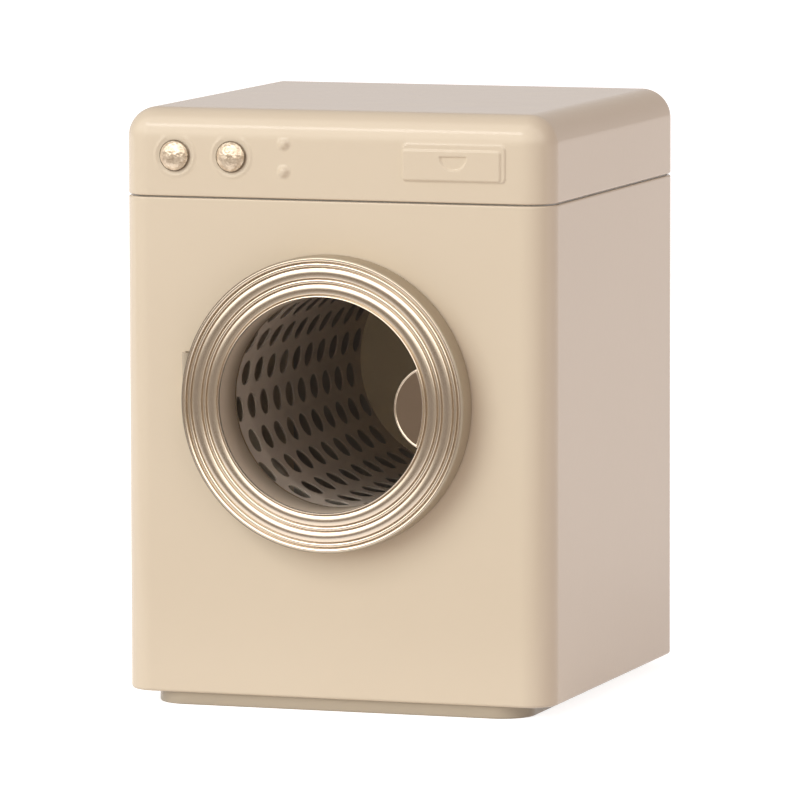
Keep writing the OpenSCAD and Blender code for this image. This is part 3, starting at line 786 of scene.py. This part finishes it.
def makeDrum():
    holed = drumCell("holed_cell", drum["pitch"], True)
    plain = drumCell("plain_cell", drum["pitch"] / 2, False)
    shaper = Shaper("perforated_drum")
    number, whole, thing = "NodeSocketFloat", "NodeSocketInt", "NodeSocketObject"
    shaper.declare(
        rows=(whole, drum["rows"]), holes=(whole, drum["holes"]),
        holedCell=(thing, holed), plainCell=(thing, plain),
        pitch=(number, drum["pitch"] * millimetre), radius=(number, drumInner * millimetre),
        frontEdge=(number, drumFront * millimetre), rearEdge=(number, drumEnd * millimetre),
        firstHole=(number, (drumFront + drum["margin"] + drum["holeRadius"]) * millimetre),
        firstAngle=(number, math.radians(drum["firstAngle"])),
        axisX=(number, doorX * millimetre), axisZ=(number, doorZ * millimetre),
        metal=("NodeSocketMaterial", materials["drum_steel"]))
    given = shaper.given
    rows, holes, pitch, radius = given("rows"), given("holes"), given("pitch"), given("radius")
    arcStep = radius * (2 * math.pi) / rows

    def cellsAt(count, depthOf, cell):
        index = shaper.node("GeometryNodeInputIndex")
        row = index % rows
        lap = shaper.maths("FLOOR", index / rows)
        place = shaper.node("ShaderNodeCombineXYZ", None, {"X": depthOf(row, lap), "Y": row * arcStep})
        points = shaper.node("GeometryNodePoints", None, {"Count": count, "Position": place})
        body = shaper.node("GeometryNodeObjectInfo", None, {"Object": cell}, "Geometry")
        spots = shaper.node("GeometryNodeInstanceOnPoints", None, {"Points": points, "Instance": body})
        return shaper.node("GeometryNodeRealizeInstances", None, {"Geometry": spots})

    def holedDepth(row, lap):
        return given("firstHole") + row % 2 * pitch * 0.5 + lap * pitch

    holedCells = cellsAt(rows * holes, holedDepth, given("holedCell"))
    # Plain half cells fill the staggered ends: one lap beside the holes, one more at the rear
    frontFill = given("firstHole") - pitch * 0.5
    rearFill = given("firstHole") + pitch * (holes - 0.5)

    def plainDepth(row, lap):
        beside = row % 2 * frontFill + (1 - row % 2) * rearFill
        return (1 - lap) * beside + lap * (rearFill + pitch * 0.5)

    plainCells = cellsAt(rows * 2, plainDepth, given("plainCell"))
    sheet = shaper.tree.nodes.new("GeometryNodeJoinGeometry")
    for part in (plainCells, holedCells):
        shaper.tree.links.new(part.socket, sheet.inputs[0])
    flatX, flatY = shaper.split(shaper.node("GeometryNodeInputPosition"))[:2]
    around = flatY / radius + given("firstAngle")
    depth = shaper.node("ShaderNodeClamp", None,
                        {"Value": flatX, "Min": given("frontEdge"), "Max": given("rearEdge")})
    rolled = shaper.node("ShaderNodeCombineXYZ", None, {
        "X": given("axisX") + radius * shaper.maths("COSINE", around), "Y": depth,
        "Z": given("axisZ") + radius * shaper.maths("SINE", around)})
    wrapped = shaper.node("GeometryNodeSetPosition", None,
                          {"Geometry": Wire(shaper, sheet.outputs[0]), "Position": rolled})
    merged = shaper.node("GeometryNodeMergeByDistance", None,
                         {"Geometry": wrapped, "Distance": drum["mergeWithin"]})
    shaper.deliver(merged)
    piece = linked("drum_perforated", bpy.data.meshes.new("drum_perforated"))
    shaper.apply(piece)
    thick = piece.modifiers.new("sheet", "SOLIDIFY")
    thick.thickness = drum["metal"] * millimetre
    thick.offset = 1
    settle(piece)
    smoothBy(piece, drum["sharp"])
    for cell in (holed, plain):
        bpy.data.objects.remove(cell)
    finishPiece(piece, "drum_steel", "drum", "drum_wall")


makeDrum()
print("drum made")


# Knobs: hammered domes on spindles

# The dents lie on a spiral by the golden angle, each thrown a little off it; angles in radians
knob = dict(standOff=0.28, spindle=1.0, edgeIn=0.15, shadedRim=0.24, steps=40, segments=120,
            dents=170, goldenAngle=2.39996, turnOff=0.35, tiltOff=0.05, smallest=0.6,
            dentWidth=0.175, dentDepth=0.1, dentFoot=1.1, fadeFrom=0.93, seed=7, sharp=60)


# Directions from the ball's centre to the dents, with their sizes
def knobDents(sweepAngle, seed):
    dice = random.Random(seed)
    dents = []
    for i in range(knob["dents"]):
        tilt = math.acos(1 - (1 - math.cos(sweepAngle)) * (i + 0.5) / knob["dents"])
        turn = i * knob["goldenAngle"] + dice.uniform(-knob["turnOff"], knob["turnOff"])
        tilt += dice.uniform(-knob["tiltOff"], knob["tiltOff"])
        way = Vector((math.sin(tilt) * math.cos(turn), math.sin(tilt) * math.sin(turn), math.cos(tilt)))
        dents.append((way, dice.uniform(knob["smallest"], 1)))
    return dents


def makeKnob(node, body, x, seed):
    low, high = boxInMm(node)
    radius = (high.x - low.x) / 2
    top, tail = frontY - low.y, frontY - high.y
    rise = top - knob["standOff"]
    ball = (radius * radius + rise * rise) / (2 * rise)
    sweepAngle = math.asin(radius / ball)
    centre = top - ball
    dents = knobDents(sweepAngle, seed)
    steps, segments = knob["steps"], knob["segments"]
    angles = [sweepAngle * i / steps for i in range(steps + 1)]
    profile = [(ball * math.sin(a), centre + ball * math.cos(a)) for a in angles]
    profile += [(radius - knob["edgeIn"], knob["standOff"]), (knob["spindle"], knob["standOff"])]
    profile += [(knob["spindle"], tail), (0, tail)]
    points, faces = revolveDome(profile, segments)
    for i, (px, py, pz) in enumerate(points[:(steps + 1) * segments]):
        way = Vector((px, py, pz - centre)).normalized()
        away, size = min((way.angle(dent, 0) / (knob["dentWidth"] * size), size) for dent, size in dents)
        fade = 1 - smoothStep(knob["fadeFrom"], 1, math.hypot(px, py) / radius)
        depth = knob["dentDepth"] * size * (1 - smoothStep(0, knob["dentFoot"], away)) * fade
        points[i] = tuple(Vector((px, py, pz)) - way * depth)
    piece = makePiece(node + "_hammered", (points, faces), onFront(x, controlZ), knob["sharp"])
    finishPiece(piece, "knob_metal", body, node)
    piece.data.materials.append(materials["knob_rim_metal"])
    # Painted shade: the knob's outermost band takes the dark rim metal
    for face in piece.data.polygons:
        away = math.hypot(face.center.x / millimetre - x, face.center.z / millimetre - controlZ)
        if away > radius - knob["shadedRim"]:
            face.material_index = 1


makeKnob("knob_left", "knob_left_turn", knobLeftX, knob["seed"])
makeKnob("knob_right", "knob_right_turn", knobRightX, knob["seed"] + 4)
print("knobs made")


# Back screws: one domed head with a cross recess, repeated on the four corners

screw = dict(count=4, headRadius=1.6, headHeight=0.8, shankRadius=0.9, edge=0.18, crown=0.22,
             tipRound=0.2, slotLong=1.05, slotWide=0.2, slotDeep=0.4,
             steps=40, crownSteps=8, edgeSteps=5, edgeFrom=80, sharp=40)


def screwMesh(name, length):
    r, h, edge, crown = (screw[key] for key in ("headRadius", "headHeight", "edge", "crown"))
    shank, tip = screw["shankRadius"], screw["tipRound"]
    ball = ((r - edge) ** 2 + crown ** 2) / (2 * crown)
    swing = math.degrees(math.asin((r - edge) / ball))
    profile = arc(0, h - ball, ball, 90, 90 - swing, screw["crownSteps"])
    profile += arc(r - edge, h - crown - edge, edge, screw["edgeFrom"], 0, screw["edgeSteps"])
    profile += [(r, 0), (shank, 0), (shank, -length + tip), (shank - tip, -length), (0, -length)]
    piece = makePiece(name, revolveDome(profile, screw["steps"]), sharp=screw["sharp"])
    long, wide, deep = screw["slotLong"], screw["slotWide"], screw["slotDeep"]
    for halfX, halfY in ((long, wide), (wide, long)):
        corners = [(-halfX, -halfY), (halfX, -halfY), (halfX, halfY), (-halfX, halfY)]
        carve(piece, makePiece("slot", loft([[(x, y, z) for x, y in corners] for z in (h - deep, h + 1)])))
    return piece


def makeBackScrews():
    low, high = boxInMm("back_screws")
    r, head = screw["headRadius"], screw["headHeight"]
    one = screwMesh("one_screw", high.y - low.y - head)
    shaper = Shaper("back_screws")
    number = "NodeSocketFloat"
    shaper.declare(
        screwShape=("NodeSocketObject", one), left=(number, (low.x + r) * millimetre),
        bottom=(number, (low.z + r) * millimetre), depth=(number, (high.y - head) * millimetre),
        across=(number, (high.x - low.x - 2 * r) * millimetre),
        tall=(number, (high.z - low.z - 2 * r) * millimetre),
        turn=(number, math.radians(-90)), metal=("NodeSocketMaterial", materials["hardware_steel"]))
    given = shaper.given
    index = shaper.node("GeometryNodeInputIndex")
    place = shaper.node("ShaderNodeCombineXYZ", None, {
        "X": given("left") + index % 2 * given("across"), "Y": given("depth"),
        "Z": given("bottom") + shaper.maths("FLOOR", index / 2) * given("tall")})
    points = shaper.node("GeometryNodePoints", None, {"Count": screw["count"], "Position": place})
    body = shaper.node("GeometryNodeObjectInfo", None, {"Object": given("screwShape")}, "Geometry")
    spin = shaper.node("ShaderNodeCombineXYZ", None, {"X": given("turn")})
    spots = shaper.node("GeometryNodeInstanceOnPoints", None,
                        {"Points": points, "Instance": body, "Rotation": spin})
    whole = shaper.node("GeometryNodeRealizeInstances", None, {"Geometry": spots})
    shaper.deliver(whole)
    piece = linked("back_screws_crossed", bpy.data.meshes.new("back_screws_crossed"))
    shaper.apply(piece)
    settle(piece)
    bpy.data.objects.remove(one)
    smoothBy(piece, screw["sharp"])
    finishPiece(piece, "hardware_steel", "cabinet", "back_screws")


makeBackScrews()
print("back screws made")


# The other pieces keep the frame's shape. Three take other materials that paint light and shade: the door
# liner, the hinge bracket and the hinge pin

dressed = dict(
    back_panel="tinplate", base_plate="tinplate", joint_band="tinplate", mouth_collar="tinplate",
    drum_rim="drum_steel", drum_back="drum_back_paint", drum_bush="brass", drum_axle="hardware_steel",
    axle_washer="hardware_steel", axle_clip="hardware_steel", plinth_screws="hardware_steel",
    door_liner="champagne_metal", window_retainer="champagne_metal", door_window="clear_plastic",
    hinge_bracket="enamel", hinge_leaf="champagne_metal", hinge_pin="hardware_steel",
    hinge_rivets="hardware_steel", door_magnet="ferrite", magnet_cup="hardware_steel",
    knob_washers="hardware_steel", push_nut_left="hardware_steel", push_nut_right="hardware_steel")
lightAndShadeSlots = dict(door_liner="inner_metal", hinge_bracket="plinth_enamel", hinge_pin="knob_rim_metal")
for node, slot in dressed.items():
    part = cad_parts[node]
    part.data.materials.clear()
    part.data.materials.append(materials[lightAndShadeSlots.get(node, slot)])
print("small pieces dressed:", len(dressed))


# Stage, light and camera

# White backdrop all round. What only gloss shows is a dim room, its walls, the backdrop's foot and a ceiling
studio = dict(ambientLow=0.775, ambientHigh=0.52, ambientColour=(0.985, 0.868, 0.845, 1),
              floorColour=(0.82, 0.795, 0.79, 1), floorShade=(0.80, 0.775, 0.77, 1),
              floorRadius=9000, floorSteps=64, floorCloud=(3, 3),
              floorGlow=0.75, floorSheen=0.67, tableFront=0.06, tableFade=0.12,
              roomTurn=-24, roomWide=0.58, roomHigh=0.34, room=(0.19, 0.145, 0.11, 1), roomFade=(1.5, 0.5),
              frontFade=(0.25, -0.15), ceilingFade=(0.1, -0.3), wallTop=(0.02, 0.42), ambientFade=(0.05, 0.9),
              wall=(0.33, 0.28, 0.225, 1), backdropFoot=(0.70, 0.665, 0.66, 1), ceiling=(2.45, 2.34, 2.2, 1),
              overhead=(0.45, 0.42, 0.4, 1))
lamps = dict(
    key=dict(place=(-1.01, -1.93, 0.93), size=(1.68, 1.68), power=23.8,
             colour=(0.95, 1.03, 1.01), gloss=False),
    strip=dict(place=(-0.55, -0.92, 1.12), size=(0.75, 0.22), power=2.6,
               colour=(1.0, 0.99, 0.97), gloss=True))


def floorPaint(graph, place):
    camera = graph.node("ShaderNodeLightPath", output="Is Camera Ray")
    glossy = graph.otherOutput(camera, "Is Glossy Ray")
    cloud = noiseOn(graph, place, *studio["floorCloud"])
    colour = graph.mixColours(cloud, studio["floorColour"], studio["floorShade"])
    matt = graph.node("ShaderNodeBsdfDiffuse", None, {"Color": colour})
    strength = graph.maths("MAXIMUM", camera * studio["floorGlow"], glossy * studio["floorSheen"])
    glow = graph.node("ShaderNodeEmission", None, {"Color": (1, 1, 1, 1), "Strength": strength})
    both = graph.node("ShaderNodeAddShader", None, {0: matt, 1: glow})
    clear = graph.node("ShaderNodeBsdfTransparent")
    behind = graph.node("ShaderNodeNewGeometry", output="Backfacing")
    # Metal sees the dim room beyond the table's front edge
    edge = -studio["tableFront"]
    beyond = glossy * graph.ramp(graph.split(place)[1], edge, edge - studio["tableFade"])
    hidden = graph.maths("MAXIMUM", behind, beyond)
    shown = graph.node("ShaderNodeMixShader", None, {0: hidden, 1: both, 2: clear})
    graph.node("ShaderNodeOutputMaterial", None, {"Surface": shown})


def makeFloor():
    edge = arc(0, 0, studio["floorRadius"], 0, 360, studio["floorSteps"])[:-1]
    points = [(x * millimetre, y * millimetre, 0) for x, y in edge]
    mesh = bpy.data.meshes.new("studio_floor")
    mesh.from_pydata(points, [], [tuple(range(len(points)))])
    mesh.materials.append(paint("studio_floor", floorPaint))
    linked("studio_floor", mesh)


# Ramps on the way a ray goes: y is negative towards the camera's side, z is up
def makeWorld():
    world = bpy.data.worlds.new("studio")
    world.use_nodes = True
    world.node_tree.nodes.clear()
    graph = Graph(world.node_tree)
    camera = graph.node("ShaderNodeLightPath", output="Is Camera Ray")
    glossy, passing = (graph.otherOutput(camera, name) for name in ("Is Glossy Ray", "Is Transmission Ray"))
    x, y, z = graph.split(graph.node("ShaderNodeTexCoord", output="Generated"))
    turn = math.radians(studio["roomTurn"])
    side = (x * math.cos(turn) + y * math.sin(turn)) / studio["roomWide"]
    lift = z / studio["roomHigh"]
    front = graph.ramp(y, *studio["frontFade"])
    dim = front * graph.ramp(side * side + lift * lift, *studio["roomFade"])
    around = graph.mixColours(front, studio["backdropFoot"], studio["wall"])
    low = graph.mixColours(dim, around, studio["room"])
    forward = graph.ramp(y, *studio["ceilingFade"])
    above = graph.mixColours(forward, studio["overhead"], studio["ceiling"])
    room = graph.mixColours(graph.ramp(z, *studio["wallTop"]), low, above)
    seen = graph.maths("MAXIMUM", camera, passing)
    unseen = graph.mixColours(glossy, studio["ambientColour"], room)
    lit = graph.maths("MAXIMUM", seen, glossy)
    ambient = graph.ramp(z, *studio["ambientFade"], studio["ambientLow"], studio["ambientHigh"])
    background = graph.node("ShaderNodeBackground", None, {
        "Color": graph.mixColours(seen, unseen, (1, 1, 1, 1)), "Strength": lit + (1 - lit) * ambient})
    graph.node("ShaderNodeOutputWorld", None, {"Surface": background})
    bpy.context.scene.world = world


def makeLamps():
    aim = Vector((0, 0, view["aimHeight"]))
    for name, lamp in lamps.items():
        data = bpy.data.lights.new(name, "AREA")
        data.shape = "RECTANGLE"
        data.size, data.size_y = lamp["size"]
        data.energy = lamp["power"]
        data.color = lamp["colour"]
        holder = linked(name, data)
        holder.location = lamp["place"]
        holder.rotation_euler = (Vector(lamp["place"]) - aim).to_track_quat("Z", "Y").to_euler()
        holder.visible_camera = False
        holder.visible_glossy = lamp["gloss"]


# The lens sees 800 pixels across a 36 mm sensor; the aim point falls at middleX, middleY of the picture
view = dict(azimuth=18.669, elevation=6.236, roll=-0.136, aimHeight=0.055, distance=1.4862,
            focalPixels=7949.887, pictureSide=800, sensor=36, middleX=404.205, middleY=390.84,
            nearest=0.05, farthest=50)


def makeCamera():
    turn, lift, roll = (math.radians(view[k]) for k in ("azimuth", "elevation", "roll"))
    back = Vector((math.sin(turn) * math.cos(lift), -math.cos(turn) * math.cos(lift), math.sin(lift)))
    right = Vector((math.cos(turn), math.sin(turn), 0))
    up = back.cross(right)
    right, up = right * math.cos(roll) + up * math.sin(roll), up * math.cos(roll) - right * math.sin(roll)
    metresPerPixel = view["distance"] / view["focalPixels"]
    half = view["pictureSide"] / 2
    place = Vector((0, 0, view["aimHeight"])) + back * view["distance"]
    place += (up * (view["middleY"] - half) - right * (view["middleX"] - half)) * metresPerPixel
    data = bpy.data.cameras.new("camera")
    data.sensor_width = view["sensor"]
    data.lens = view["focalPixels"] / view["pictureSide"] * view["sensor"]
    data.clip_start, data.clip_end = view["nearest"], view["farthest"]
    camera = linked("camera", data)
    camera.matrix_world = Matrix((
        (right.x, up.x, back.x, place.x), (right.y, up.y, back.y, place.y),
        (right.z, up.z, back.z, place.z), (0, 0, 0, 1)))
    bpy.context.scene.camera = camera


makeFloor()
makeWorld()
makeLamps()
makeCamera()
bpy.context.scene.view_settings.view_transform = "Standard"
print("stage, lamps and camera made")
